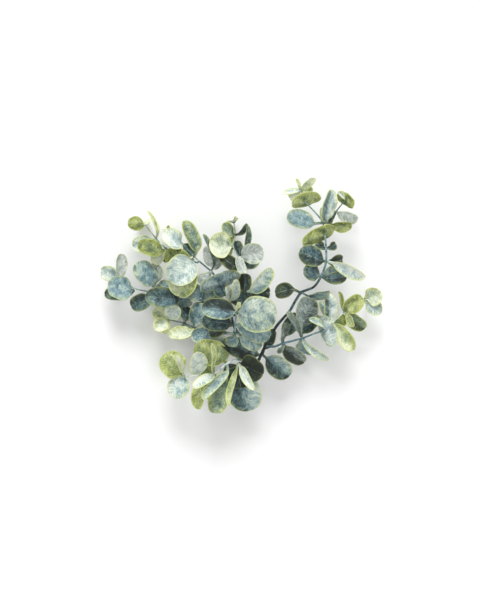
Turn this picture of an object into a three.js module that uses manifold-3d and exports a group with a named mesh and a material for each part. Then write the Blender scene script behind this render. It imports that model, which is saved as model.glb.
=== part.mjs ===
// A cut eucalyptus branch lying on its side: a short woody stem that forks into leafy sprays.
// Millimetres, +Z up. +X runs towards the right-hand sprays and +Y towards the tips of the upper sprays.
// The origin is the middle of the patch that the branch covers, on the surface under it.
import * as THREE from "three";
import { mergeVertices } from "three/addons/utils/BufferGeometryUtils.js";
import Module from "manifold-3d";

const { Manifold, Mesh, setup } = await Module().then((wasm) => {
  wasm.setup();
  return wasm;
});

// Driving dimensions.
const LEAF_THICKNESS = 0.9; // at the midrib; a blade thins to nothing at its rim
const NECK_HALF_WIDTH = 0.8; // the stalk between the stem and the blade
const JOINED_OVERLAP = 0.6; // how far each of two joined leaves runs past the middle of the stem
const CUP = 0.2; // how far the rims stand above the midrib, as a share of the half width
const BOW = 0.12; // how far the midrib arches, as a share of its length
const COLLAR_WALL = 1.1; // the ring that joins the leaves of one node round the stem
const COLLAR_LENGTH = 2.4;
const BUD_RADIUS = 1.5; // joins the leaves at the end of a stem
const GAP = 0.35; // between a stem and whatever meets it
const CLEARANCE = 0.5; // kept between a leaf and what it passes
const STEM_SIDES = 5;
const STEM_ROWS = 2; // rings of a stem from one of its points to the next
const LIFT_STEP = 2; // a leaf that would touch something lifts or sinks by this much at a time
const LIFT_STEPS = 11;

// Where a blade has its cross-sections, from the end of its stalk (0) towards its tip (1).
const STATIONS = [0.09, 0.34, 0.63, 0.87];

// Half width of a rounded eucalyptus blade at a station, as a share of its full width.
const outline = (t) => 0.5 * Math.sqrt(1 - Math.abs(2 * t ** 1.05 - 1) ** 2.4);

const COLOURS = {
  blue: 0x7f9da3,
  deep: 0x46594f,
  pale: 0xbdd2c8,
  lime: 0xc9d68a,
  olive: 0x97a35a,
  grey: 0xb4b9ae,
  stem: 0x7c9690,
};

// The branch. A spray's stem runs through its points, from the point of its parent that it grows out of.
// A leaf is [to the right, up the branch, towards the top, width, roll, stalk]: the first three lead from
// the middle of the stem to the leaf's tip. At roll 0 the upper face turns towards the top as far as the
// leaf's direction lets it, and at 180 the lower face does. A stalk that isn't given is 2 mm. Two leaves
// with no stalk meet across the stem, so the pair is one long oval that the stem runs through.
const SPRAYS = {
  main: {
    radii: [1.8, 0.65],
    points: [
      { at: [4, -96, 10] },
      { at: [13, -75, 20] },
      { at: [20, -60, 28], colour: "deep",
        leaves: [[29, -21, -2, 22, 10, 4], [13, 26, -10, 12, 30, 8], [-40, 13, 20, 21, 12, 3]] },
      { at: [24, -51, 32] },
      { at: [36, -30, 38] },
      { at: [49, -15, 40] },
      { at: [60, 3, 42], colour: "deep", leaves: [[-26, -1, -4, 16, 20, 7], [29, 1, 6, 15, 55, 6]] },
      { at: [72, 8, 43] },
      { at: [80, 19, 43], colour: "deep",
        leaves: [[26, 0, -10, 13, 0, 3], [-18, 5, 8, 19, 25, 1], [16, 8, -16, 13, 10, 3]] },
      { at: [85, 34, 42], colour: "deep",
        leaves: [[39, -16, 4, 13, 30, 6], [-27, 10, 1, 21, 10, 2], [17, 2, -12, 13, 10, 3]] },
      { at: [85, 47, 41], colour: "deep", leaves: [[-9, 6, -9, 9, 20], [10, 5, -5, 9, 20]] },
      { at: [84, 61, 40], colour: "olive", leaves: [[-23, -9, 12, 18, 142, 0], [8, 9, 5, 18, -142, 0]] },
      { at: [83, 66, 38] },
      { at: [82, 73, 37], colour: "olive", leaves: [[-36, 7, 2, 19, 10, 8], [7, 8, -12, 11, 20]] },
      { at: [73, 85, 34] },
      { at: [64, 95, 31], colour: "olive", leaves: [[-13, -4, 3, 18, 142, 0], [16, 4, 3, 18, -142, 0]] },
      { at: [61, 104, 29], colour: "pale",
        leaves: [
          [13, 15, 5, 8, 30], [-19, -2, 2, 8, 40], [-6, 13, 5, 5, 50], [-12, -6, -8, 11, 10],
          [11, 1, -8, 10, 10],
        ] },
    ],
  },
  main_fork: {
    parent: ["main", 12],
    radii: [0.9, 0.6],
    points: [
      { at: [87, 72, 38], colour: "pale",
        leaves: [
          [3, 34, 10, 18, 40, 3], [-7, 16, 8, 11, 40], [24, -1, 4, 14, 45, 3],
        ] },
      { at: [95, 84, 35], colour: "grey", leaves: [[22, -8, 4, 13, 160], [-10, -8, -12, 11, 10]] },
      { at: [104, 95, 29], colour: "olive",
        leaves: [
          [9, -6, 3, 14, -142, 0], [-8, 6, 3, 14, 142, 0], [-7, 8, 2, 7, 40], [4, 8, 1, 4, 50],
          [7, -1, -14, 9, 20],
        ] },
    ],
  },
  right: {
    parent: ["main", 3],
    radii: [1.3, 0.6],
    points: [
      { at: [34, -51, 35] },
      { at: [42, -48, 37], colour: "grey",
        leaves: [
          [2, 21, 8, 14, 60], [22, -19, -6, 17, 20], [-3, -10, 6, 10, 60], [14, 30, -8, 16, 20, 7],
        ] },
      { at: [61, -43, 38], colour: "grey",
        leaves: [
          [8, 41, 14, 23, 165, 13], [27, -22, -5, 8, 25, 3], [-16, 26, 14, 12, 55, 4],
          [4, -16, -24, 16, 20], [16, 24, -10, 14, 15, 5],
        ] },
      { at: [74, -38, 38] },
      { at: [85, -34, 37], colour: "pale",
        leaves: [[-5, 14, 6, 19, 145, 0], [6, -17, 6, 19, -145, 0], [-17, 10, 2, 9, 50, 4]] },
      { at: [92, -27, 36], colour: "lime",
        leaves: [[21, -28, 0, 16, 10], [-4, 29, 6, 18, 35], [-13, 21, -8, 9, 30], [13, 5, -10, 13, 20]] },
      { at: [104, -16, 34], colour: "lime",
        leaves: [[21, -17, -6, 16, 25], [9, -15, 6, 10, 50], [17, 15, 5, 18, 15], [-6, 20, -4, 8, 60]] },
      { at: [113, -9, 32] },
      { at: [121, -5, 29], colour: "lime",
        leaves: [[20, 7, 5, 19, 10], [21, -12, -1, 15, 10], [-5, -7, -4, 7, 20], [8, 3, -28, 14, 20]] },
    ],
  },
  high_left: {
    parent: ["main", 1],
    radii: [1.7, 0.7],
    points: [
      { at: [9, -52, 31] },
      { at: [1, -42, 35] },
      { at: [-6, -33, 38] },
      { at: [-9, -24, 40] },
      { at: [-10, -16, 41] },
      { at: [-12, -7, 42], colour: "blue",
        leaves: [
          [6, 23, 14, 12, 45], [-3, 16, 10, 10, 45], [-24, -9, -22, 22, 10], [24, 6, -18, 18, 10],
        ] },
      { at: [-21, 13, 44], colour: "blue",
        leaves: [[-20, -7, 5, 18, 145, 0], [20, 8, 5, 18, -145, 0], [4, -14, -8, 14, 10]] },
      { at: [-30, 24, 44], colour: "grey",
        leaves: [[-2, 26, 4, 21, 160], [-9, -14, 8, 15, 165], [-8, 37, 12, 10, 60, 4]] },
      { at: [-38, 31, 44] },
      { at: [-46, 38, 43], colour: "pale",
        leaves: [
          [-24, -25, 12, 31, 5], [-11, 37, 5, 15, 20, 6], [-17, -39, 2, 28, 5, 9],
          [-31, 3, 2, 18, 160, 4],
        ] },
      { at: [-58, 51, 40], colour: "pale", leaves: [[-20, 12, 6, 20, 20], [12, -8, -14, 15, 10]] },
      { at: [-71, 64, 33], colour: "lime", leaves: [[-3, 6, 2, 4, 30], [-2, 2, -30, 12, 30]] },
    ],
  },
  high_left_fork: {
    parent: ["high_left", 8],
    radii: [1.0, 0.6],
    points: [
      { at: [-50, 35, 39] },
      { at: [-62, 42, 37] },
      { at: [-75, 47, 35], colour: "olive",
        leaves: [[-29, 4, 6, 17, 10, 4], [-13, -15, 2, 13, 160, 4], [4, -12, -16, 14, 10]] },
      { at: [-85, 57, 31], colour: "lime",
        leaves: [[-9, 28, 6, 8, 66, 6], [-24, -8, -4, 17, 15], [-6, 25, -2, 6, 66, 6]] },
      { at: [-95, 69, 27], colour: "olive", leaves: [[-19, 4, 4, 15, 10], [-4, 6, -26, 14, 20]] },
    ],
  },
  middle: {
    parent: ["high_left", 3],
    radii: [1.2, 0.6],
    points: [
      { at: [-2, -14, 47] },
      { at: [4, 3, 49], colour: "grey",
        leaves: [[27, 24, 8, 15, 20, 5], [0, 19, -8, 14, 10], [25, 0, -12, 16, 10]] },
      { at: [4, 16, 49] },
      { at: [1, 28, 48], colour: "deep", leaves: [[-22, 11, -4, 14, 20], [14, 12, -18, 15, 10]] },
      { at: [-2, 38, 46], colour: "grey",
        leaves: [
          [24, 7, 5, 22, 10], [5, -16, 12, 10, 165], [9, 32, 2, 9, 50, 8], [-3, 17, -12, 10, 10, 3],
        ] },
      { at: [-8, 49, 43], colour: "lime", leaves: [[-24, 3, 10, 26, 5], [-10, -7, -24, 16, 10]] },
      { at: [-6, 60, 40], colour: "blue",
        leaves: [[-13, 11, 10, 13, 20], [12, 12, 2, 8, 50], [-9, -5, -6, 11, 10]] },
      { at: [-7, 71, 37], colour: "olive", leaves: [[1, 8, 3, 4, 40], [-2, 4, -32, 12, 30]] },
    ],
  },
  left: {
    parent: ["high_left", 4],
    radii: [1.2, 0.6],
    points: [
      { at: [-20, -11, 40] },
      { at: [-37, -5, 37], colour: "blue",
        leaves: [[-22, 12, 0, 17, 10, 3], [-4, -12, -20, 19, 10], [7, 13, -10, 15, 10]] },
      { at: [-63, -3, 33], colour: "deep",
        leaves: [[-33, 2, 10, 22, 12], [-19, 17, -8, 10, 30], [8, -9, -24, 17, 10]] },
      { at: [-87, 3, 30], colour: "blue",
        leaves: [
          [-19, 29, 9, 23, 25, 8], [-4, 29, 4, 20, 155, 8], [-24, -14, -8, 17, 10, 6],
          [8, 3, -20, 15, 10],
        ] },
      { at: [-107, 7, 28], colour: "blue", leaves: [[-27, 3, 8, 24, 10, 4], [-31, -6, -10, 14, 15, 4]] },
      { at: [-120, 16, 26], colour: "pale",
        leaves: [[-22, 9, 4, 15, 10, 4], [0, 26, 5, 13, 160], [-5, 6, -25, 13, 20]] },
    ],
  },
  near_left: {
    parent: ["high_left", 1],
    radii: [1.1, 0.6],
    points: [
      { at: [-14, -37, 34] },
      { at: [-30, -36, 32], colour: "deep", leaves: [[4, 20, 4, 18, 10, 4], [12, -14, -10, 17, 10, 3]] },
      { at: [-47, -32, 30], colour: "blue",
        leaves: [
          [6, 25, 6, 19, 10], [-26, -8, 2, 14, 25, 3], [-3, -10, -24, 16, 10], [17, -10, 4, 15, 15],
        ] },
      { at: [-57, -28, 30], colour: "deep", leaves: [[1, 17, -2, 13, 15], [3, -8, -20, 13, 20]] },
      { at: [-70, -25, 30], colour: "pale",
        leaves: [
          [-18, 11, 4, 16, 10], [4, 16, 10, 17, 10], [-17, -9, 9, 15, 10], [-8, -13, -4, 10, 20],
          [-8, -6, -27, 14, 10],
        ] },
    ],
  },
  top: {
    parent: ["high_left", 2],
    radii: [1.3, 0.8],
    points: [
      { at: [-7, -37, 46] },
      { at: [-6, -37, 54], colour: "blue",
        leaves: [[-44, -4, -12, 17, 10, 12], [26, -15, -3, 16, 10, 4], [-4, -14, 2, 14, 20]] },
      { at: [-6, -29, 66], colour: "blue",
        leaves: [[35, -12, -4, 21, 10], [-33, 4, -4, 20, 10], [-26, -10, -8, 13, 10, 8]] },
      { at: [-5, -18, 77], colour: "pale",
        leaves: [[-34, 6, 2, 22, 15], [40, -4, 3, 36, -5, 3], [2, 11, 6, 8, 60]] },
    ],
  },
  low_left: {
    parent: ["main", 1],
    radii: [1.4, 0.7],
    points: [
      { at: [5, -68, 33] },
      { at: [-4, -64, 43], colour: "blue",
        leaves: [
          [13, -52, -14, 34, 10, 8], [26, -15, 8, 27, 20, 1], [-8, -46, 16, 10, 55, 4],
          [17, -30, 18, 10, 30], [4, -29, -5, 25, 10, 2],
        ] },
      { at: [-14, -68, 47], colour: "olive",
        leaves: [
          [-33, 16, 7, 26, 10], [-17, 30, -3, 23, 10, 3], [-13, -51, -6, 21, 10, 18],
          [-24, -36, 12, 12, 35, 8], [10, -13, -14, 21, 10, 1],
        ] },
      { at: [-27, -78, 47], colour: "lime",
        leaves: [
          [-3, 31, 28, 8, 55, 6], [-21, -14, 16, 11, 25, 3], [-8, -26, -16, 20, 10],
          [-18, 8, -16, 19, 10],
        ] },
      { at: [-41, -80, 44], colour: "pale", leaves: [[-3, 24, 26, 20, 10], [-2, -34, 0, 15, 25, 4]] },
      { at: [-54, -81, 40], colour: "lime",
        leaves: [
          [-25, 21, 4, 27, 10], [-13, 22, 14, 10, 50], [-14, -21, 2, 22, 10],
          [-8, -4, -38, 16, 20],
        ] },
    ],
  },
};

const vector = (v) => new THREE.Vector3(...v);

// A closed solid from a three.js geometry whose points are moved, each to where the rule puts it.
function shaped(geometry, rule) {
  geometry.deleteAttribute("normal");
  geometry.deleteAttribute("uv");
  const merged = mergeVertices(geometry, 1e-4);
  const places = merged.attributes.position;
  for (let i = 0; i < places.count; i++) {
    const { x, y, z } = rule(new THREE.Vector3().fromBufferAttribute(places, i));
    places.setXYZ(i, x, y, z);
  }
  const made = (faces) =>
    new Manifold(new Mesh({ numProp: 3, vertProperties: places.array, triVerts: new Uint32Array(faces) }));
  const solid = made(merged.index.array);
  return solid.volume() > 0 ? solid : made(merged.index.array.toReversed());
}

// Two directions square to an axis and to each other.
function across(axis) {
  const side = new THREE.Vector3(0.3, -0.2, 1).cross(axis).normalize();
  return [side, side.clone().cross(axis)];
}

// Stands a geometry's Y axis on an axis through a centre, its X and Z square to it.
function along(centre, axis) {
  const [side, up] = across(axis);
  return ({ x, y, z }) =>
    centre.clone().addScaledVector(side, x).addScaledVector(axis, y).addScaledVector(up, z);
}

// Each spray's curve, and its radius and direction at every point.
const stems = {};
for (const [name, { parent, radii, points }] of Object.entries(SPRAYS)) {
  const places = points.map((p) => vector(p.at));
  if (parent) places.unshift(vector(SPRAYS[parent[0]].points[parent[1]].at));
  const curve = new THREE.CatmullRomCurve3(places, false, "centripetal");
  const last = places.length - 1;
  const radiusAt = (t) => THREE.MathUtils.lerp(...radii, t);
  const nodes = points.map((point, i) => {
    const t = (parent ? i + 1 : i) / last;
    const centre = vector(point.at);
    return { ...point, centre, axis: curve.getTangent(t), radius: radiusAt(t), end: t === 1 };
  });
  stems[name] = { curve, last, radiusAt, nodes };
}

// A stem is a tapering tube along its curve. Grown by a margin it is what a neighbour has to stay out of.
function tube({ curve, last, radiusAt }, margin = 0) {
  const rows = STEM_ROWS * last;
  const geometry = new THREE.CylinderGeometry(1, 1, 1, STEM_SIDES, rows);
  return shaped(geometry, ({ x, y, z }) => {
    const t = Math.round((y + 0.5) * rows) / rows;
    const r = (radiusAt(t) + margin) / Math.cos(Math.PI / STEM_SIDES);
    return along(curve.getPoint(t), curve.getTangent(t))(new THREE.Vector3(x * r, 0, z * r));
  });
}

// What joins the leaves of a node: a ring round the stem, or a bud past its end.
function joint({ centre, axis, radius, end }) {
  if (end) {
    const bud = new THREE.SphereGeometry(1, 6, 3).scale(BUD_RADIUS, BUD_RADIUS * 1.6, BUD_RADIUS);
    return shaped(bud.translate(0, GAP + BUD_RADIUS * 1.6, 0), along(centre, axis));
  }
  const sides = 5;
  const inner = (radius + GAP) / Math.cos(Math.PI / sides) + 0.15;
  const [outer, half] = [inner + COLLAR_WALL, COLLAR_LENGTH / 2];
  const profile = [[inner, -half], [outer, -half], [outer, half], [inner, half], [inner, -half]];
  const collar = new THREE.LatheGeometry(profile.map((p) => new THREE.Vector2(...p)), sides);
  return shaped(collar, along(centre, axis));
}

// One leaf: a stalk and a cupped, arching blade. It is a sphere with four meridians, drawn out from its
// base to its tip: two meridians are the rims, and the other two run down the middle of the upper and lower
// faces.
function blade({ centre, axis, radius, end }, leaf, lift, margin, from) {
  const [x, y, z, width, roll, stalk = 2] = leaf;
  const reach = new THREE.Vector3(x, y, z + lift);
  const tip = centre.clone().add(reach);
  const out = (end ? reach.clone() : reach.clone().projectOnPlane(axis)).normalize();
  const start = centre.clone();
  if (end && stalk) start.addScaledVector(axis, GAP + BUD_RADIUS * 1.3);
  else if (end) start.addScaledVector(axis, GAP + BUD_RADIUS);
  else if (stalk) start.addScaledVector(out, radius + GAP + 0.3 + COLLAR_WALL * 0.6);
  else start.addScaledVector(out, -JOINED_OVERLAP);
  const chord = tip.clone().sub(start);
  const length = chord.length();
  const ahead = chord.clone().normalize();
  const top = new THREE.Vector3(0, 0, 1).projectOnPlane(ahead).normalize();
  top.applyAxisAngle(ahead, THREE.MathUtils.degToRad(roll));
  const midrib = new THREE.CubicBezierCurve3(
    start,
    start.clone().addScaledVector(out, length * 0.2).addScaledVector(ahead, length * 0.1),
    tip.clone().addScaledVector(ahead, -length * 0.35).addScaledVector(top, length * BOW),
    tip,
  );
  const bare = stalk / length;
  const halfAt = (t) => width * (stalk ? outline(t) : outline(0.5 + t / 2));
  const sections = [[0.01, stalk ? NECK_HALF_WIDTH : halfAt(0)]];
  if (stalk > 3) sections.push([bare, NECK_HALF_WIDTH]);
  for (const t of STATIONS) {
    sections.push([bare + (1 - bare) * t, Math.max(halfAt(t), NECK_HALF_WIDTH)]);
  }
  const kept = sections.filter(([t]) => t >= from);
  const rows = kept.length + 1;
  return shaped(new THREE.SphereGeometry(1, 4, rows), (point) => {
    const row = Math.round((Math.acos(THREE.MathUtils.clamp(point.y, -1, 1)) / Math.PI) * rows);
    if (row === rows) return tip.clone().addScaledVector(ahead, margin);
    const [t, half] = kept[Math.max(row - 1, 0)];
    const middle = midrib.getPoint(t);
    const forward = midrib.getTangent(t);
    if (row === 0) return middle.addScaledVector(forward, -0.4);
    const side = top.clone().cross(forward).normalize();
    const face = forward.clone().cross(side);
    if (Math.abs(point.x) > Math.abs(point.z)) {
      middle.addScaledVector(side, Math.sign(point.x) * (half + margin));
      return middle.addScaledVector(face, half * CUP);
    }
    return middle.addScaledVector(face, Math.sign(point.z) * (LEAF_THICKNESS / 2 + margin));
  });
}

const touches = (a, b) => {
  const [p, q] = [a.boundingBox(), b.boundingBox()];
  if ([0, 1, 2].some((i) => p.min[i] > q.max[i] || q.min[i] > p.max[i])) return false;
  return a.intersect(b).volume() > 0.001;
};

const largest = (body) => body.decompose().reduce((a, b) => (a.volume() > b.volume() ? a : b));

// Stems first: a side stem stops just short of the stems before it.
const pieces = [];
const bodies = []; // everything in place so far, with the piece it belongs to
for (const [name, stem] of Object.entries(stems)) {
  let body = tube(stem);
  for (const other of Object.values(stems)) {
    if (other === stem) break;
    body = body.subtract(tube(other, GAP));
  }
  const whole = largest(body);
  pieces.push({ name: `${name}_stem`, colour: "stem", body: whole, roughness: 0.7 });
  bodies.push({ owner: `${name}_stem`, body: whole });
}

// Then every node's ring or bud, and then its leaves, each lifted or sunk until it is clear.
const nodes = Object.entries(stems).flatMap(([name, stem]) =>
  stem.nodes
    .filter((n) => n.leaves)
    .map((n, i) => ({ ...n, spray: name, name: `${name}_leaves_${i + 1}`, joint: joint(n) })),
);
for (const node of nodes) bodies.push({ owner: node.name, body: node.joint });
for (const node of nodes) {
  const blades = node.leaves.map((leaf, which) => {
    const own = bodies.filter((b) => b.owner === node.name && b.blade);
    const others = bodies.filter((b) => b.owner !== node.name);
    const lifts = [0];
    for (let i = 1; i <= LIFT_STEPS; i++) lifts.push(i * LIFT_STEP, -i * LIFT_STEP);
    const clear = (lift) => {
      const grown = blade(node, leaf, lift, CLEARANCE, leaf[5] === 0 ? 0.12 : 0);
      if (grown.boundingBox().min[2] < 0) return false;
      if (others.some((b) => touches(grown, b.body))) return false;
      const outer = blade(node, leaf, lift, CLEARANCE, 0.25);
      return !own.some((b) => touches(outer, b.body));
    };
    const lift = lifts.find(clear);
    if (lift === undefined) throw new Error(`no clear place: ${node.name} leaf ${which + 1}`);
    const body = blade(node, leaf, lift, 0, 0);
    bodies.push({ owner: node.name, body, blade: true });
    return body;
  });
  let body = Manifold.union([node.joint, ...blades]);
  if (node.leaves.some((leaf) => leaf[5] === 0)) body = largest(body.subtract(tube(stems[node.spray], GAP)));
  pieces.push({ name: node.name, colour: node.colour, body, roughness: 0.6 });
}

// Set down: the lowest leaf tips rest on the surface, and the middle of the patch is the origin.
const box = Manifold.compose(pieces.map((p) => p.body)).boundingBox();
const shift = [-(box.min[0] + box.max[0]) / 2, -(box.min[1] + box.max[1]) / 2, -box.min[2]];

const group = new THREE.Group();
group.name = "eucalyptus_branch";
for (const { name, colour, body, roughness } of pieces) {
  const { vertProperties, triVerts } = body.translate(shift).getMesh();
  const geometry = new THREE.BufferGeometry();
  geometry.setAttribute("position", new THREE.BufferAttribute(new Float32Array(vertProperties), 3));
  geometry.setIndex(new THREE.BufferAttribute(new Uint32Array(triVerts), 1));
  const merged = mergeVertices(geometry, 1e-3);
  merged.computeVertexNormals();
  const material = new THREE.MeshStandardMaterial({ color: COLOURS[colour], roughness, metalness: 0 });
  const mesh = new THREE.Mesh(merged, material);
  mesh.name = name;
  group.add(mesh);
}

export default group;
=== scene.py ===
import bpy
import bmesh
import math
import random
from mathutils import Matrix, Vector, noise


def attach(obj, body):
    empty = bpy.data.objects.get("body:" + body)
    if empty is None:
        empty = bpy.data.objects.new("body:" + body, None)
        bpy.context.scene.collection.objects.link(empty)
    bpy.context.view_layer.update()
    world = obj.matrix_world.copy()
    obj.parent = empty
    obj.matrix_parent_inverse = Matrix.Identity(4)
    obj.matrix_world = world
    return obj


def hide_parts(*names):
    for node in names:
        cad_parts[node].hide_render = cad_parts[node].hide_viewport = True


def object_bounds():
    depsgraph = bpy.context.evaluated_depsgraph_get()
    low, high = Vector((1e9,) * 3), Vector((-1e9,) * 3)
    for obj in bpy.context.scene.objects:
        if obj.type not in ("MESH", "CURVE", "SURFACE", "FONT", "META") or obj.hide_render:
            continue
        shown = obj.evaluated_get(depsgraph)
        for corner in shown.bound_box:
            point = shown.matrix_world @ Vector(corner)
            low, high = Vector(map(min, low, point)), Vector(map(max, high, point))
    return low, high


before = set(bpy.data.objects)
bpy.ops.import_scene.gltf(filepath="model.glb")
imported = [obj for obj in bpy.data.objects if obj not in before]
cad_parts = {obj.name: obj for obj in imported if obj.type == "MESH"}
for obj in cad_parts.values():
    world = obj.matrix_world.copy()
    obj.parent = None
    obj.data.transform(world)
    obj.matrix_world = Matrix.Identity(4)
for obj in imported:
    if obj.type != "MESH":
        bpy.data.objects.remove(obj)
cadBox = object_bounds()
mm = 0.001
print("frame loaded:", len(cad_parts), "nodes")


def middle(points):
    return sum(points, Vector()) / len(points)


# how the frame's solids are read; lengths in mm
reading = {"weld": 0.002, "tipStep": 0.3, "tipReach": 2.0, "jointReach": 4.0, "ringToRadius": 0.9}


def nodeMesh(name):  # a welded copy of a solid of the frame
    bm = bmesh.new()
    bm.from_mesh(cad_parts[name].data)
    bmesh.ops.remove_doubles(bm, verts=bm.verts, dist=reading["weld"] * mm)
    bm.verts.index_update()
    return bm


def ringsFrom(pole, count):  # ring after ring of that many corners, out from a pole of the solid
    seen = {pole}
    ring = [e.other_vert(pole) for e in pole.link_edges]
    rings = []
    while len(ring) == count:
        rings.append(ring)
        seen.update(ring)
        ring = sorted({e.other_vert(v) for v in ring for e in v.link_edges} - seen, key=lambda v: v.index)
    return rings


def readBlade(tip, rings, centre):  # cross-sections of one blade, from its base to its tip
    stations = []
    for ring in reversed(rings):
        corners = [v.co.copy() for v in ring]
        rims = max(((a, b) for a in corners for b in corners), key=lambda p: (p[0] - p[1]).length)
        faces = [c for c in corners if c not in rims]
        if len(faces) != 2:
            continue
        mid = middle(faces)
        face = (faces[0] - faces[1]).normalized()
        if (middle(rims) - mid).dot(face) < 0:  # a blade is cupped towards its upper face
            face.negate()
        stations.append({"mid": mid, "face": face, "half": (rims[0] - rims[1]).length / 2})
    return {"stations": stations, "tip": tip.co.copy(), "centre": centre}


def bladesOf(name):  # the middle of the joint, and its blades in order of their bearing round it
    bm = nodeMesh(name)
    found = []
    used = set()
    for v in bm.verts:
        rings = ringsFrom(v, 4) if len(v.link_edges) == 4 else []
        if len(rings) < 2:
            continue
        steps = [(middle([w.co for w in r]) - v.co).length for r in rings[:4]]
        if steps != sorted(steps) or steps[0] < reading["tipStep"] * mm or steps[-1] < reading["tipReach"] * mm:
            continue  # not a blade's tip
        found.append((v, rings[:5]))
        used.update([v] + [w for r in rings[:4] for w in r])
    rest = [v.co.copy() for v in bm.verts if v not in used]
    centre = middle(rest)
    for _ in range(4):  # the joint is the tight cluster that is left
        centre = middle([p for p in rest if (p - centre).length < reading["jointReach"] * mm] or rest)
    blades = [readBlade(v, rings, centre) for v, rings in found]
    blades.sort(key=lambda b: math.atan2(b["tip"].y - centre.y, b["tip"].x - centre.x))
    bm.free()
    return centre, blades


def readStem(name):  # middle and radius of each ring, from its fork to its free end
    bm = nodeMesh(name)
    best = []
    for v in bm.verts:
        rings = ringsFrom(v, 5) if len(v.link_edges) == 5 else []
        if len(rings) > len(best):
            best = rings
    used = {v for ring in best for v in ring}
    left = [v.co.copy() for v in bm.verts if v not in used]
    line = []
    for ring in reversed(best):
        mid = middle([v.co for v in ring])
        line.append((mid, sum((v.co - mid).length for v in ring) / len(ring) * reading["ringToRadius"]))
    if line[0][1] < line[-1][1]:  # a stem thins towards its free end
        line.reverse()
    bm.free()
    return {"line": line, "foot": middle(left)}


def curveThrough(xs, ys):  # a smooth curve through values at rising places
    slopes = []
    for i in range(len(xs)):
        a, b = max(i - 1, 0), min(i + 1, len(xs) - 1)
        slopes.append((ys[b] - ys[a]) / (xs[b] - xs[a]))

    def at(x):
        x = min(max(x, xs[0]), xs[-1])
        i = 0
        while i < len(xs) - 2 and x > xs[i + 1]:
            i += 1
        h = xs[i + 1] - xs[i]
        t = (x - xs[i]) / h
        near = ys[i] * ((1 + 2 * t) * (1 - t) ** 2) + slopes[i] * (h * t * (1 - t) ** 2)
        return near + ys[i + 1] * (t * t * (3 - 2 * t)) + slopes[i + 1] * (h * t * t * (t - 1))
    return at


def smooth(low, high, x):
    t = min(max((x - low) / (high - low), 0), 1)
    return t * t * (3 - 2 * t)


stemNames = sorted(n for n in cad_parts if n.endswith("_stem"))
leafNames = sorted(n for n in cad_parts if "_leaves_" in n)
stems = {n: readStem(n) for n in stemNames}
whorls = {n: bladesOf(n) for n in leafNames}
print("read", sum(len(b) for _, b in whorls.values()), "blades on", len(stems), "stems")


def tone(text):  # a colour written as six hex digits
    parts = [int(text[i:i + 2], 16) / 255 for i in (0, 2, 4)]
    return [c / 12.92 if c < 0.04045 else ((c + 0.055) / 1.055) ** 2.4 for c in parts] + [1]


def startMaterial(name):
    material = bpy.data.materials.new(name)
    material.use_nodes = True
    tree = material.node_tree
    return material, tree, tree.nodes["Principled BSDF"]


def add(tree, kind, links=None, **settings):
    made = tree.nodes.new(kind)
    for key, value in settings.items():
        setattr(made, key, value)
    for key, value in (links or {}).items():
        if isinstance(value, bpy.types.NodeSocket):
            tree.links.new(value, made.inputs[key])
        else:
            made.inputs[key].default_value = value
    return made


def calc(tree, operation, *values):
    return add(tree, "ShaderNodeMath", dict(enumerate(values)), operation=operation).outputs[0]


def total(tree, first, *others):
    for other in others:
        first = calc(tree, "ADD", first, other)
    return first


def about(tree, value, strength):  # a noise turned into a push up or down
    return calc(tree, "MULTIPLY", calc(tree, "SUBTRACT", value, 0.5), strength)


def clamp(tree, value):
    return add(tree, "ShaderNodeClamp", {0: value}).outputs[0]


def spread(tree, value, low, high, bottom=0.0, top=1.0):
    return add(tree, "ShaderNodeMapRange", {0: value, 1: low, 2: high, 3: bottom, 4: top},
               interpolation_type="SMOOTHSTEP").outputs[0]


def blend(tree, factor, a, b):
    return add(tree, "ShaderNodeMix", {0: factor, 6: a, 7: b}, data_type="RGBA").outputs[2]


def ramp(tree, value, stops):
    made = add(tree, "ShaderNodeValToRGB", {0: value})
    elements = made.color_ramp.elements
    while len(elements) < len(stops):
        elements.new(0.5)
    for element, (place, colour) in zip(elements, stops):
        element.position = place
        element.color = tone(colour)
    return made.outputs[0]


def cloud(tree, coords, size, detail=4, rough=0.6, warp=0.0):  # size is one patch's, in the units of coords
    return add(tree, "ShaderNodeTexNoise", {"Vector": coords, "Scale": 1 / size, "Detail": detail,
                                            "Roughness": rough, "Distortion": warp}).outputs[0]


def attribute(tree, name):
    vector = add(tree, "ShaderNodeAttribute", attribute_name=name).outputs["Vector"]
    return add(tree, "ShaderNodeSeparateXYZ", {0: vector}).outputs


def combine(tree, x, y, z):
    return add(tree, "ShaderNodeCombineXYZ", {0: x, 1: y, 2: z}).outputs[0]


frosting = {
    "old": [(0.0, "18231c"), (0.2, "35494a"), (0.4, "587a83"), (0.58, "7f9fa6"), (0.78, "b0c8c7"), (1.0, "e6eee9")],
    "young": [(0.0, "3a441b"), (0.2, "667231"), (0.4, "8d984a"), (0.58, "aeb968"), (0.78, "d4dca2"), (1.0, "f2f4da")],
    "ashen": [(0.0, "2c332d"), (0.2, "58625b"), (0.4, "868f88"), (0.58, "aab1aa"), (0.78, "d0d5cf"), (1.0, "eff1ee")],
    "rim": "d2dc94", "rib": "bccabb",
    "rimWidth": 0.8, "marginWidth": 4.5,  # mm
    "patchSize": 8.0, "strokeSize": 1.1, "speckSize": 0.6,  # mm
    "darker": 0.045, "patches": 0.95, "strokes": 1.3, "specks": 0.85, "net": 0.04,  # how far each moves the tone
    "older": 0.07, "youthPatches": 1.3, "youngMargin": 0.42, "greyStrokes": 0.5, "raggedRim": 1.6,
    "veinSlant": 0.8, "veinWander": 3.2, "veinTurn": 2.0, "netScale": 0.6,  # radians and cells per mm
    "underVeins": -0.1, "upperVeins": -0.05,
    "bump": 0.7, "bumpHeight": 0.4,  # mm
}


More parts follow.
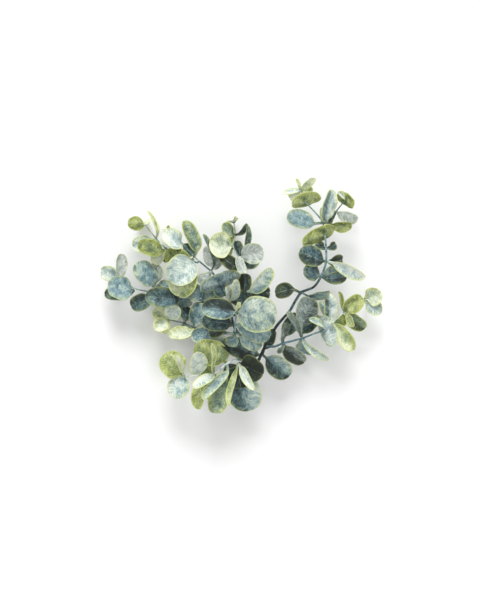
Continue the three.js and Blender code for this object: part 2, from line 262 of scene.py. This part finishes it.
def leafColour(tree, under):
    across, along, edge = attribute(tree, "place")
    age, pale, seed = attribute(tree, "tint")
    greyAbove, greyBelow, rimStrength = attribute(tree, "bloom")
    shift = calc(tree, "MULTIPLY", seed, 90.0)  # no two leaves share a stretch of the pattern
    sideways = calc(tree, "ABSOLUTE", across)
    slant = calc(tree, "SUBTRACT", along, calc(tree, "MULTIPLY", sideways, frosting["veinSlant"]))
    flat = combine(tree, across, calc(tree, "ADD", along, shift), seed)
    veined = combine(tree, calc(tree, "MULTIPLY", across, 0.3), calc(tree, "ADD", slant, shift), seed)
    patches = cloud(tree, flat, frosting["patchSize"], 4, 0.55, 0.7)
    strokes = cloud(tree, veined, frosting["strokeSize"], 6, 0.68, 0.8)
    specks = cloud(tree, flat, frosting["speckSize"], 2, 0.6)
    wander = about(tree, strokes, frosting["veinWander"])
    wave = calc(tree, "SINE", calc(tree, "MULTIPLY", calc(tree, "ADD", slant, wander), frosting["veinTurn"]))
    veins = calc(tree, "MULTIPLY", spread(tree, wave, 0.84, 1.0), spread(tree, sideways, 0.2, 1.8))
    net = add(tree, "ShaderNodeTexVoronoi", {"Vector": flat, "Scale": frosting["netScale"]},
              feature="DISTANCE_TO_EDGE").outputs[0]
    mesh = spread(tree, net, 0.06, 0.0)
    rib = spread(tree, sideways, 0.45, 0.1)
    value = total(tree, calc(tree, "SUBTRACT", pale, frosting["darker"]),
                  about(tree, patches, frosting["patches"]), about(tree, strokes, frosting["strokes"]),
                  about(tree, specks, frosting["specks"]), calc(tree, "MULTIPLY", mesh, frosting["net"]),
                  calc(tree, "MULTIPLY", veins, frosting["underVeins" if under else "upperVeins"]))
    margin = spread(tree, edge, frosting["marginWidth"], 0.0)
    ageing = total(tree, calc(tree, "SUBTRACT", age, frosting["older"]),
                   about(tree, patches, frosting["youthPatches"]),
                   calc(tree, "MULTIPLY", margin, frosting["youngMargin"]))
    ageing = clamp(tree, ageing)
    greyness = greyBelow if under else greyAbove
    greyness = clamp(tree, total(tree, greyness, about(tree, strokes, frosting["greyStrokes"])))
    colour = blend(tree, ageing, ramp(tree, value, frosting["old"]), ramp(tree, value, frosting["young"]))
    greyed = blend(tree, calc(tree, "MULTIPLY", ageing, 0.4), ramp(tree, value, frosting["ashen"]), colour)
    colour = blend(tree, greyness, colour, greyed)
    ribStrength = spread(tree, patches, 0.4, 0.62, 0.06, 0.4)
    colour = blend(tree, calc(tree, "MULTIPLY", rib, ribStrength), colour, tone(frosting["rib"]))
    inside = total(tree, edge, about(tree, strokes, frosting["raggedRim"]))
    rimBand = spread(tree, inside, frosting["rimWidth"] + 0.3, frosting["rimWidth"] - 0.35)
    colour = blend(tree, calc(tree, "MULTIPLY", rimBand, rimStrength), colour, tone(frosting["rim"]))
    relief = total(tree, calc(tree, "MULTIPLY", veins, 0.7 if under else -0.4), strokes,
                   calc(tree, "MULTIPLY", rib, 0.5 if under else -0.6))
    return colour, relief, strokes


def makeLeafFace(name, under):
    material, tree, shader = startMaterial(name)
    colour, relief, strokes = leafColour(tree, under)
    tree.links.new(colour, shader.inputs["Base Color"])
    tree.links.new(spread(tree, strokes, 0.3, 0.7, 0.55, 0.75), shader.inputs["Roughness"])
    shader.inputs["Specular IOR Level"].default_value = 0.3 if under else 0.4
    shader.inputs["Sheen Weight"].default_value = 0.08
    shader.inputs["Sheen Roughness"].default_value = 0.5
    bump = add(tree, "ShaderNodeBump", {"Strength": frosting["bump"], "Distance": frosting["bumpHeight"] * mm,
                                        "Height": relief})
    tree.links.new(bump.outputs[0], shader.inputs["Normal"])
    return material


rimFinish = {
    "bright": [(0.15, "5f7358"), (0.35, "98a768"), (0.55, "c8d28c"), (0.8, "e6ebbf")],
    "patchSize": 3.0,  # mm
}


def makeRim():
    material, tree, shader = startMaterial("leafRim")
    across, along, _ = attribute(tree, "place")
    _, pale, seed = attribute(tree, "tint")
    rimStrength = attribute(tree, "bloom")[2]
    patches = cloud(tree, combine(tree, across, along, seed), rimFinish["patchSize"], 4, 0.6)
    value = total(tree, patches, calc(tree, "MULTIPLY", rimStrength, 0.4), -0.25)
    bright = ramp(tree, value, rimFinish["bright"])
    bloomed = ramp(tree, total(tree, patches, calc(tree, "SUBTRACT", pale, 0.5)), frosting["old"])
    colour = blend(tree, spread(tree, rimStrength, 0.05, 0.6), bloomed, bright)
    tree.links.new(colour, shader.inputs["Base Color"])
    shader.inputs["Roughness"].default_value = 0.6
    return material


bark = {"grainSize": 0.9, "patchSize": 6.0, "grain": 1.5, "patches": 1.5, "bump": 0.7, "bumpHeight": 0.3}  # mm
cutWood = {"tones": [(0.3, "7d6a45"), (0.5, "b9a675"), (0.7, "d8cba0")], "grainSize": 0.9}  # mm


def makeBark():
    material, tree, shader = startMaterial("bloomedStem")
    across, along, _ = attribute(tree, "place")
    age, pale, seed = attribute(tree, "tint")
    coords = add(tree, "ShaderNodeTexCoord").outputs["Object"]
    along = total(tree, calc(tree, "MULTIPLY", along, 0.4), calc(tree, "MULTIPLY", seed, 90.0))
    grain = cloud(tree, combine(tree, across, along, seed), bark["grainSize"], 6, 0.7, 0.5)
    patches = cloud(tree, coords, bark["patchSize"] * mm, 4, 0.6, 0.5)
    value = total(tree, pale, about(tree, grain, bark["grain"]), about(tree, patches, bark["patches"]))
    colour = blend(tree, age, ramp(tree, value, frosting["old"]), ramp(tree, value, frosting["young"]))
    tree.links.new(colour, shader.inputs["Base Color"])
    shader.inputs["Roughness"].default_value = 0.65
    bump = add(tree, "ShaderNodeBump", {"Strength": bark["bump"], "Distance": bark["bumpHeight"] * mm,
                                        "Height": grain})
    tree.links.new(bump.outputs[0], shader.inputs["Normal"])
    return material


def makeCutWood():
    material, tree, shader = startMaterial("cutWood")
    coords = add(tree, "ShaderNodeTexCoord").outputs["Object"]
    grain = cloud(tree, coords, cutWood["grainSize"] * mm, 5, 0.7)
    tree.links.new(ramp(tree, grain, cutWood["tones"]), shader.inputs["Base Color"])
    shader.inputs["Roughness"].default_value = 0.8
    return material


leafMaterials = [makeLeafFace("frostedLeaf", False), makeLeafFace("paleUnderside", True), makeRim()]
barkMaterials = [makeBark(), makeCutWood()]
print("materials made")


def pieceName(node):  # main_leaves_1 becomes mainLeaves1
    words = node.split("_")
    return words[0] + "".join(w.capitalize() for w in words[1:])


def finish(node, bm, materials):  # the mesh becomes a piece that stands for one solid of the frame
    name = pieceName(node)
    mesh = bpy.data.meshes.new(name)
    bm.to_mesh(mesh)
    bm.free()
    for material in materials:
        mesh.materials.append(material)
    for face in mesh.polygons:
        face.use_smooth = True
    piece = bpy.data.objects.new(name, mesh)
    bpy.context.scene.collection.objects.link(piece)
    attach(piece, "root")
    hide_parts(node)
    return piece


def soften(piece):
    soft = piece.modifiers.new("softness", "SUBSURF")
    soft.levels = soft.render_levels = 1


def addLayers(bm):
    points = bm.verts.layers.float_vector
    return points.new("place"), points.new("tint"), points.new("bloom"), bm.loops.layers.uv.new("leaf")


def hold(point, margin):  # keeps a point inside the frame's box
    low, high = cadBox
    return Vector([min(max(p, a + margin), b - margin) for p, a, b in zip(point, low, high)])


leafShape = {
    "rows": 22, "columns": 10,
    "stalkWidth": 1.05, "margin": 1.3,  # half the stalk's width, and room inside the frame's box, mm
    "stalkThickness": 1.2, "bladeThickness": 0.5, "ribThickness": 0.95,  # mm
    "groove": 0.3, "grooveWidth": 0.6, "ribWidth": 0.8, "lip": 0.14,  # mm
    "cup": 0.22, "fold": 1.25, "ripple": 0.07, "ragged": 0.035,  # shares of the half width, and a power
    # painted shade: how much darker one half of a blade and its stalk end are painted
    "halfShade": 0.34, "stalkShade": 0.12, "tipYouth": 0.2,
}
looks = {  # youth, paleness, greyness of the upper and lower face, strength of the rim
    # dark, and partly deep, paint the shade on leaves that lie under others as well as their own dark green
    "dark": (0.15, 0.04, 0.0, 0.2, 0.25), "deep": (0.06, 0.24, 0.0, 0.3, 0.30),
    "teal": (0.03, 0.42, 0.1, 0.3, 0.30), "blue": (0.05, 0.56, 0.1, 0.3, 0.35),
    "sky": (0.14, 0.76, 0.1, 0.4, 0.60), "mint": (0.26, 0.80, 0.3, 0.5, 0.60),
    # white is partly the pale bloom of the leaf and partly painted highlight
    "white": (0.24, 0.92, 0.15, 0.4, 0.80), "grey": (0.20, 0.68, 0.9, 0.9, 0.50),
    "ash": (0.15, 0.40, 0.7, 0.7, 0.30), "mixed": (0.42, 0.52, 0.0, 0.0, 0.70),
    "olive": (0.86, 0.48, 0.0, 0.0, 0.55), "lime": (0.78, 0.76, 0.0, 0.3, 0.85),
    "lemon": (0.92, 0.60, 0.0, 0.0, 0.75), "cream": (0.66, 0.88, 0.1, 0.3, 0.85),
}
wornLooks = {  # of each whorl's leaves, by bearing from the west anticlockwise; + or - shades a half, = is joined
    "high_left_fork_leaves_1": "cream olive olive", "high_left_fork_leaves_2": "white lime lime",
    "high_left_fork_leaves_3": "lime olive", "high_left_leaves_1": "blue deep mint grey",
    "high_left_leaves_2": "blue= deep blue=", "high_left_leaves_3": "grey grey teal",
    "high_left_leaves_4": "mint lime mixed olive", "high_left_leaves_5": "blue white",
    "high_left_leaves_6": "olive lime", "left_leaves_1": "deep blue blue", "left_leaves_2": "blue blue deep",
    "left_leaves_3": "deep blue grey blue", "left_leaves_4": "deep blue", "left_leaves_5": "grey blue mint",
    "low_left_leaves_1": "lime dark sky+ white dark", "low_left_leaves_2": "white+ mixed dark mint olive",
    "low_left_leaves_3": "white olive lime olive", "low_left_leaves_4": "lemon white",
    "low_left_leaves_5": "lime sky cream lemon", "main_fork_leaves_1": "olive white- white",
    "main_fork_leaves_2": "deep grey", "main_fork_leaves_3": "olive= olive mint white olive=",
    "main_leaves_1": "blue+ dark teal-", "main_leaves_2": "dark blue", "main_leaves_3": "deep blue deep",
    "main_leaves_4": "white dark deep", "main_leaves_5": "deep deep", "main_leaves_6": "olive= olive=",
    "main_leaves_7": "deep blue", "main_leaves_8": "lemon= lemon=",
    "main_leaves_9": "white cream lime cream lime", "middle_leaves_1": "deep white+ dark",
    "middle_leaves_2": "deep dark", "middle_leaves_3": "grey grey deep deep", "middle_leaves_4": "olive cream",
    "middle_leaves_5": "olive deep mixed", "middle_leaves_6": "mint olive", "near_left_leaves_1": "deep blue",
    "near_left_leaves_2": "cream blue teal blue", "near_left_leaves_3": "blue deep",
    "near_left_leaves_4": "cream olive lime mint lime", "right_leaves_1": "ash ash+ deep ash",
    "right_leaves_2": "blue sky deep ash ash", "right_leaves_3": "sky= sky= sky",
    "right_leaves_4": "lime olive mint- sky", "right_leaves_5": "lime mixed+ lemon olive",
    "right_leaves_6": "ash sky cream lime", "top_leaves_1": "blue teal blue", "top_leaves_2": "deep blue deep",
    "top_leaves_3": "mint+ lime teal+",
}


def bladeCurves(blade, seam):  # middle line, upper direction and squared half width along a blade
    stations, centre = blade["stations"], blade["centre"]
    first = stations[0]
    neck = leafShape["stalkWidth"] * mm
    out = (first["mid"] - centre).normalized()
    start = seam["start"] - seam["out"] * 0.3 * mm if seam else centre + out * 0.4 * mm
    mids = [start] + [s["mid"] for s in stations] + [blade["tip"]]
    widths = [s["half"] for s in stations] + [0]
    faces = [seam["face"] if seam else first["face"]] + [s["face"] for s in stations] + [stations[-1]["face"]]
    widths.insert(0, stations[-1]["half"] * 1.83 if seam else neck)
    if first["half"] > 1.6 * mm and not seam:  # the stalk stays slim for a part of the way to the blade
        mids.insert(1, mids[0].lerp(mids[1], 0.4))
        widths.insert(1, neck)
        faces.insert(1, faces[0])
    places = [0.0]
    for a, b in zip(mids, mids[1:]):
        places.append(places[-1] + (b - a).length)
    squares = curveThrough(places, [w * w for w in widths])
    return places[-1], curveThrough(places, mids), curveThrough(places, faces), squares


def addBlade(bm, layers, blade, look, seam, rng):
    place, tint, bloom, uv = layers
    shape = leafShape
    word = look.strip("+-=")
    way = seam["way"] if seam else 1
    # painted shade of a fold: + darkens one half of the blade, - darkens the other
    shaded = ("+" in look) - ("-" in look)  # which half of the blade is the darker
    youth, pale, greyAbove, greyBelow, rim = looks[word]
    if not seam:
        youth += rng.uniform(-0.06, 0.06)
        pale += rng.uniform(-0.06, 0.06)
    length, midAt, faceAt, squareAt = bladeCurves(blade, seam)
    neck = shape["stalkWidth"] * mm
    phase, turns, seed = rng.random() * 6.28, rng.uniform(1.2, 2.4), 3.7 if seam else rng.random() * 10
    ripple = shape["ripple"] * rng.uniform(0.4, 1.4)
    ownCup = shape["cup"] * rng.uniform(0.8, 1.35)
    lean = rng.uniform(-0.1, 0.1)
    # painted shade: one half of each free blade is painted a little darker and the other a little lighter, as by a
    # fold
    randomFoldShade = 0 if seam else rng.uniform(-0.12, 0.12)
    thick = bm.verts.layers.deform.verify()
    grid = bmesh.ops.create_grid(bm, x_segments=shape["columns"], y_segments=shape["rows"], size=1)["verts"]
    known = {}
    for v in grid:
        w, u = math.sin(v.co.x * math.pi / 2), (v.co.y + 1) / 2
        known[v] = ((w + 1) / 2, u)
        u = (u * 0.35 + 0.65 * (0.5 - 0.5 * math.cos(math.pi * u))) * 0.996
        free = smooth(0, 0.35, u) if seam else 1  # joined leaves match where they meet
        d, a = u * length, abs(w)
        mid, face = midAt(d), faceAt(d).normalized()
        forward = (midAt(d + 0.3 * mm) - midAt(d - 0.3 * mm)).normalized()
        if seam:
            forward = seam["out"].lerp(forward, free).normalized()
        side = forward.cross(face).normalized()
        half = math.sqrt(max(squareAt(d), 0.02 * mm * mm))
        half = max(half, neck * (1 - smooth(0.4, 0.6, u)))
        flat = 1 if seam else max(smooth(neck * 1.1, neck * 3, half), smooth(0.35, 0.55, u))  # 0 in the stalk
        cup = shape["cup"] + (ownCup - shape["cup"]) * free
        rise = half * (cup * a ** shape["fold"] + lean * w * flat * free)
        rise += half * ripple * flat * free * a ** 2.5 * math.sin(u * 6.28 * turns + phase + (1.7 if w > 0 else 0))
        groove = shape["groove"] * mm * flat * (1 - 0.7 * u)
        rise -= groove * math.exp(-(w * half / (shape["grooveWidth"] * mm)) ** 2)
        rise += shape["lip"] * mm * flat * smooth(0.82, 1, a)
        uneven = noise.noise(Vector((u * 3.5, seed + (5 if w > 0 else 0), 0)))
        offset = w * half * (1 + shape["ragged"] * 2 * flat * free * uneven)
        v.co = hold(mid + side * offset + face * rise, shape["margin"] * mm)
        edge = min((1 - a) * half, length - d + 0.15 * half)
        v[place] = Vector((offset * way, d * way, edge)) / mm
        # painted shade: one half of the blade darker, as in the shade of its fold
        shade = shape["halfShade"] * smooth(-0.15, 0.15, w * shaded) if shaded else 0
        # painted shade: the stalk end of each blade is painted darker, as in the shade at the joint, and one random
        # half of the blade darker than the other
        shade += shape["stalkShade"] * (1 - smooth(0, 0.35, u)) + randomFoldShade * (2 * smooth(-0.12, 0.12, w) - 1)
        v[tint] = Vector((youth + shape["tipYouth"] * (u - 0.5), pale - shade, seed))
        v[bloom] = Vector((greyAbove, greyBelow, rim * flat))
        rib = (shape["ribThickness"] - shape["bladeThickness"]) * (1 - u)
        rib *= math.exp(-(w * half / (shape["ribWidth"] * mm)) ** 2)
        wall = shape["stalkThickness"] * (1 - flat) + flat * (shape["bladeThickness"] + rib)
        v[thick][0] = wall / shape["stalkThickness"]  # a share of the wall that Solidify makes
    for f in {f for v in grid for f in v.link_faces}:
        for loop in f.loops:
            loop[uv].uv = known[loop.vert]


def seamOf(pair, blade, centre):  # where the two halves of a joined pair meet, seen from one of them
    first, second = [b["stations"][0] for b in pair]
    span = second["mid"] - first["mid"]
    start = first["mid"] + span * ((centre - first["mid"]).dot(span) / span.length_squared)
    way = -1 if blade is pair[0] else 1
    face = (first["face"] + second["face"]).normalized()
    return {"start": start, "out": span.normalized() * way, "face": face, "way": way}


def makeLeaves(node):
    centre, blades = whorls[node]
    rng = random.Random(node)
    bm = bmesh.new()
    layers = addLayers(bm)
    worn = wornLooks[node].split()
    pair = [b for b, look in zip(blades, worn) if "=" in look]
    for blade, look in zip(blades, worn):
        seam = seamOf(pair, blade, centre) if "=" in look else None
        addBlade(bm, layers, blade, look, seam, rng)
    piece = finish(node, bm, leafMaterials)
    piece.vertex_groups.new(name="thickness")
    wall = piece.modifiers.new("thickness", "SOLIDIFY")
    wall.thickness = leafShape["stalkThickness"] * mm
    wall.offset = -1
    wall.vertex_group = "thickness"
    wall.material_offset = 1
    wall.material_offset_rim = 2
    soften(piece)


for node in leafNames:
    makeLeaves(node)
print("leaves made")


stemShape = {
    "sides": 12, "step": 1.5,  # mm from ring to ring
    "slimness": 0.88, "knobble": 0.1, "nodeSwell": 0.35,
    "nodeLength": 1.4, "nodeReach": 1.5, "tipLength": 2.2, "tipRadius": 0.35, "cutLip": 0.25, "cutDepth": 0.1,  # mm
}
stemLooks = {  # paleness at the fork and at the free end, youth at the free end
    # the dark forks are partly older bark and partly painted shade; the near white low left stem is partly painted
    # highlight
    "main_stem": (0.00, 0.48, 0.15), "main_fork_stem": (0.30, 0.40, 0.3),
    "right_stem": (0.40, 0.78, 0.5), "high_left_stem": (0.14, 0.48, 0.3),
    "high_left_fork_stem": (0.35, 0.55, 0.6), "middle_stem": (0.10, 0.50, 0.5),
    "left_stem": (0.30, 0.55, 0.2), "near_left_stem": (0.15, 0.30, 0.3),
    "top_stem": (0.40, 0.60, 0.1), "low_left_stem": (0.80, 1.00, 0.4),
}


def nearestOn(line, point):
    return min((p for p, _ in line), key=lambda p: (p - point).length)


def makeStem(name):
    line = list(stems[name]["line"])
    foot = stems[name]["foot"]
    if name != "main_stem":
        longer = [s["line"] for n, s in stems.items() if n != name and len(s["line"]) > len(line) - 2]
        others = [nearestOn(other, foot) for other in longer]
        parent = min(others, key=lambda p: (p - foot).length)
        line = [(parent, line[0][1]), (parent.lerp(line[0][0], 0.5), line[0][1])] + line
    end, before = line[-1][0], line[-2][0]
    line.append((end + (end - before).normalized() * stemShape["tipLength"] * mm, stemShape["tipRadius"] * mm))
    places = [0.0]
    for (a, _), (b, _) in zip(line, line[1:]):
        places.append(places[-1] + (b - a).length)
    length = places[-1]
    midAt = curveThrough(places, [p for p, _ in line])
    radiusAt = curveThrough(places, [r for _, r in line])
    nodes = []  # how far along the stem each whorl sits
    steps = [length * i / 400 for i in range(401)]
    for centre, _ in whorls.values():
        best = min(steps, key=lambda d: (midAt(d) - centre).length)
        if (midAt(best) - centre).length < stemShape["nodeReach"] * mm:
            nodes.append(best)
    rng = random.Random(name)
    seed = rng.random() * 10
    bm = bmesh.new()
    place, tint, bloom, uv = addLayers(bm)
    paleStart, paleEnd, youth = stemLooks[name]
    rows = max(int(length / (stemShape["step"] * mm)), 8)
    bmesh.ops.create_grid(bm, x_segments=stemShape["sides"], y_segments=rows, size=1)
    known = {}
    for v in bm.verts:
        angle, u = (v.co.x + 1) * math.pi, (v.co.y + 1) / 2
        known[v] = ((v.co.x + 1) / 2, u)
        d = u * length
        forward = (midAt(d + 0.5 * mm) - midAt(d - 0.5 * mm)).normalized()
        side = forward.cross(Vector((0.3, -0.2, 1))).normalized()
        up = side.cross(forward)
        radius = radiusAt(d) * stemShape["slimness"]
        swell = sum(math.exp(-((d - n) / (stemShape["nodeLength"] * mm)) ** 2) for n in nodes)
        radius *= 1 + stemShape["nodeSwell"] * min(swell, 1)
        ringPoint = (math.cos(angle), math.sin(angle))
        knob = noise.noise(Vector((ringPoint[0] * 1.5, ringPoint[1] * 1.5, d / mm / 4 + seed)))
        radius *= 1 + stemShape["knobble"] * knob
        v.co = midAt(d) + side * ringPoint[0] * radius + up * ringPoint[1] * radius
        v[place] = Vector((angle * radius / mm, d / mm, 5))
        # paler towards the free end; the darkness at the fork is partly painted shade
        pale = paleStart + (paleEnd - paleStart) * smooth(0.3, 0.75, u)
        v[tint] = Vector((smooth(0.4, 1.0, u) * youth, pale, seed))
    for f in bm.faces:
        for loop in f.loops:
            loop[uv].uv = known[loop.vert]
    bmesh.ops.remove_doubles(bm, verts=bm.verts, dist=0.01 * mm)
    ends = bmesh.ops.holes_fill(bm, edges=[e for e in bm.edges if e.is_boundary], sides=0)["faces"]
    if name == "main_stem":
        cut = min(ends, key=lambda f: f.calc_center_median().y)
        cut.material_index = 1
        bmesh.ops.inset_individual(bm, faces=[cut], thickness=stemShape["cutLip"] * mm,
                                   depth=-stemShape["cutDepth"] * mm)
    bmesh.ops.recalc_face_normals(bm, faces=bm.faces)
    soften(finish(name, bm, barkMaterials))


for name in stemNames:
    makeStem(name)
print("stems made")


studio = {
    "sky": 0.82, "key": 1.95, "keyAngle": 29, "keyTilt": (-50, -4, 0),  # degrees
    "floorTone": 0.94, "floorSize": 6, "floorDrop": 0.4,  # m, then mm
    "lens": 180, "field": 600, "aim": (-1.5, -4.5, 45),  # mm
}


def makeStudio():
    bpy.ops.mesh.primitive_plane_add(size=studio["floorSize"])
    floor = bpy.context.object
    floor.name = "studioFloor"
    floor.location.z = -studio["floorDrop"] * mm
    material, tree, shader = startMaterial("paleFloor")
    shader.inputs["Base Color"].default_value = [studio["floorTone"]] * 3 + [1]
    shader.inputs["Roughness"].default_value = 0.9
    shader.inputs["Specular IOR Level"].default_value = 0.1
    floor.data.materials.append(material)
    world = bpy.data.worlds.new("softRoom")
    bpy.context.scene.world = world
    world.use_nodes = True
    background = world.node_tree.nodes["Background"]
    background.inputs["Color"].default_value = (1, 1, 1, 1)
    background.inputs["Strength"].default_value = studio["sky"]
    key = bpy.data.lights.new("keyLight", "SUN")
    key.energy = studio["key"]
    key.angle = math.radians(studio["keyAngle"])
    lamp = bpy.data.objects.new("keyLight", key)
    lamp.rotation_euler = [math.radians(a) for a in studio["keyTilt"]]
    bpy.context.scene.collection.objects.link(lamp)


def makeCamera():
    camera = bpy.data.objects.new("camera", bpy.data.cameras.new("camera"))
    camera.data.lens = studio["lens"]
    camera.data.clip_end = 20
    distance = studio["field"] * studio["lens"] / camera.data.sensor_width  # field is the longer side of the view
    camera.location = (Vector(studio["aim"]) + Vector((0, 0, distance))) * mm
    bpy.context.scene.collection.objects.link(camera)
    bpy.context.scene.camera = camera


makeStudio()
makeCamera()
bpy.context.scene.view_settings.view_transform = "Standard"
print("studio made")
